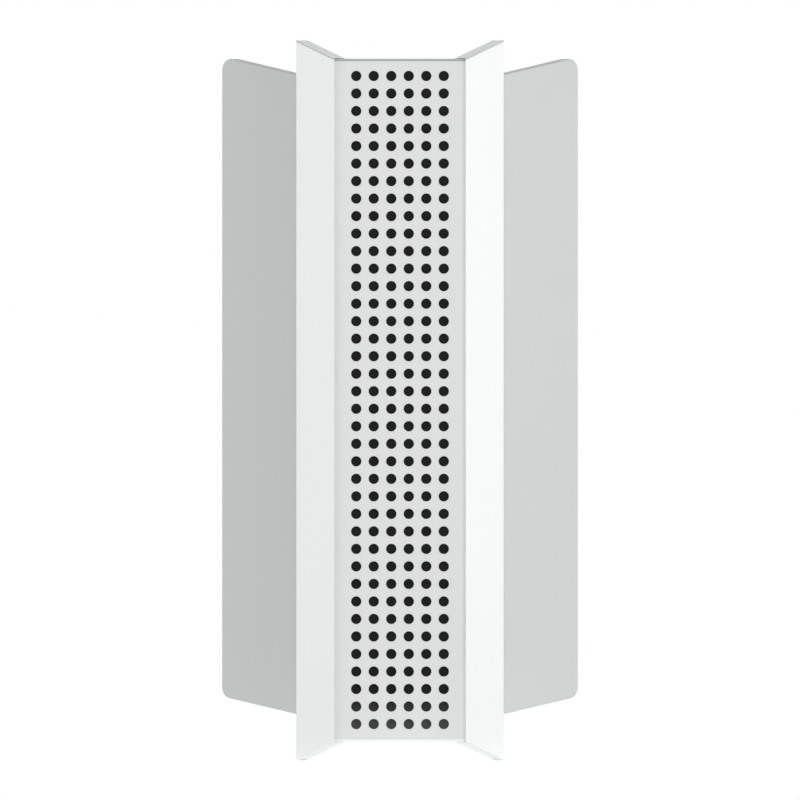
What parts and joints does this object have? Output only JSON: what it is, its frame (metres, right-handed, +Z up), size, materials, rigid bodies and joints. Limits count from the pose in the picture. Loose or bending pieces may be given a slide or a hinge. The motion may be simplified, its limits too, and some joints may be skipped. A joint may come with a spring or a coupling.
{
  "type": "wireless router",
  "caption": "Upright tower wireless router: perforated front between two swept plates, ports at the back, and folding antenna wings behind the side walls.",
  "frame": {"origin": "under the middle of the object's box, on the table it stands on", "axes": "+Z up, +Y from the perforated front to the ports at the back, +X to the right seen from the front"},
  "size_m": [0.1138, 0.0786, 0.2304],
  "materials": {
    "white_plastic": "fine moulded texture, satin white",
    "grille_plastic": "fine moulded texture, white, perforated",
    "cover_plastic": "fine moulded texture, white",
    "wing_plastic": "fine moulded texture, light grey",
    "screen_black": "black woven dust screen",
    "black_plastic": "moulded black",
    "circuit_board": "green solder mask on glass fibre",
    "chip_black": "moulded black package",
    "pad_rubber": "soft grey pad",
    "sink_aluminium": "extruded, natural",
    "plated_steel": "tin-plated sheet",
    "uplink_plastic": "moulded blue",
    "port_plastic": "moulded black",
    "button_plastic": "satin moulded grey-white",
    "lamp_white": "small lamp body",
    "clear_plastic": "clear moulded guide",
    "foot_rubber": "light grey rubber",
    "screw_steel": "zinc-plated"
  },
  "bodies": {
    "tower": {"base_cover": "cover_plastic", "base_screws": "screw_steel", "board_screws": "screw_steel", "cover_screws": "screw_steel", "dust_screen": "screen_black", "front_grille": "grille_plastic", "front_left_foot": "foot_rubber", "front_right_foot": "foot_rubber", "heat_sink": "sink_aluminium", "heat_sink_screws": "screw_steel", "inner_chassis": "black_plastic", "left_hinge_pins": "screw_steel", "left_side_shell": "white_plastic", "light_guide": "clear_plastic", "local_jack_1": "port_plastic", "local_jack_2": "port_plastic", "local_jack_3": "port_plastic", "main_board": "circuit_board", "memory_chip": "chip_black", "network_transformers": "chip_black", "pairing_switch": "chip_black", "power_inlet": "port_plastic", "power_switch": "chip_black", "processor_chip": "chip_black", "radio_shield_lower": "plated_steel", "radio_shield_upper": "plated_steel", "rear_cover": "cover_plastic", "rear_left_foot": "foot_rubber", "rear_right_foot": "foot_rubber", "reset_switch": "chip_black", "right_hinge_pins": "screw_steel", "right_side_shell": "white_plastic", "status_lamp": "lamp_white", "thermal_pad": "pad_rubber", "top_cover": "cover_plastic", "uplink_jack": "uplink_plastic", "usb_port": "plated_steel"},
    "left_wing": {"left_wing_front_shell": "wing_plastic", "left_wing_rear_shell": "wing_plastic", "left_antenna_board": "circuit_board"},
    "right_wing": {"right_wing_front_shell": "wing_plastic", "right_wing_rear_shell": "wing_plastic", "right_antenna_board": "circuit_board"},
    "power_button": {"power_button": "button_plastic"},
    "pairing_button": {"pairing_button": "button_plastic"},
    "reset_button": {"reset_button": "button_plastic"}
  },
  "joints": [
    {"name": "left_wing_fold", "type": "hinge", "parent": "tower", "child": "left_wing", "pos_m": [-0.0294, 0.01179, 0.1153], "axis": [0, 0, -1], "range_deg": [0, 45]},
    {"name": "right_wing_fold", "type": "hinge", "parent": "tower", "child": "right_wing", "pos_m": [0.0294, 0.01179, 0.1153], "axis": [0, 0, 1], "range_deg": [0, 45]},
    {"name": "power_press", "type": "slide", "parent": "tower", "child": "power_button", "axis": [0, -1, 0], "range_m": [0, 0.0012], "stiffness_N_per_m": 500},
    {"name": "pairing_press", "type": "slide", "parent": "tower", "child": "pairing_button", "axis": [0, -1, 0], "range_m": [0, 0.001], "stiffness_N_per_m": 500},
    {"name": "reset_press", "type": "slide", "parent": "tower", "child": "reset_button", "axis": [0, -1, 0], "range_m": [0, 0.0008], "stiffness_N_per_m": 500}
  ]
}
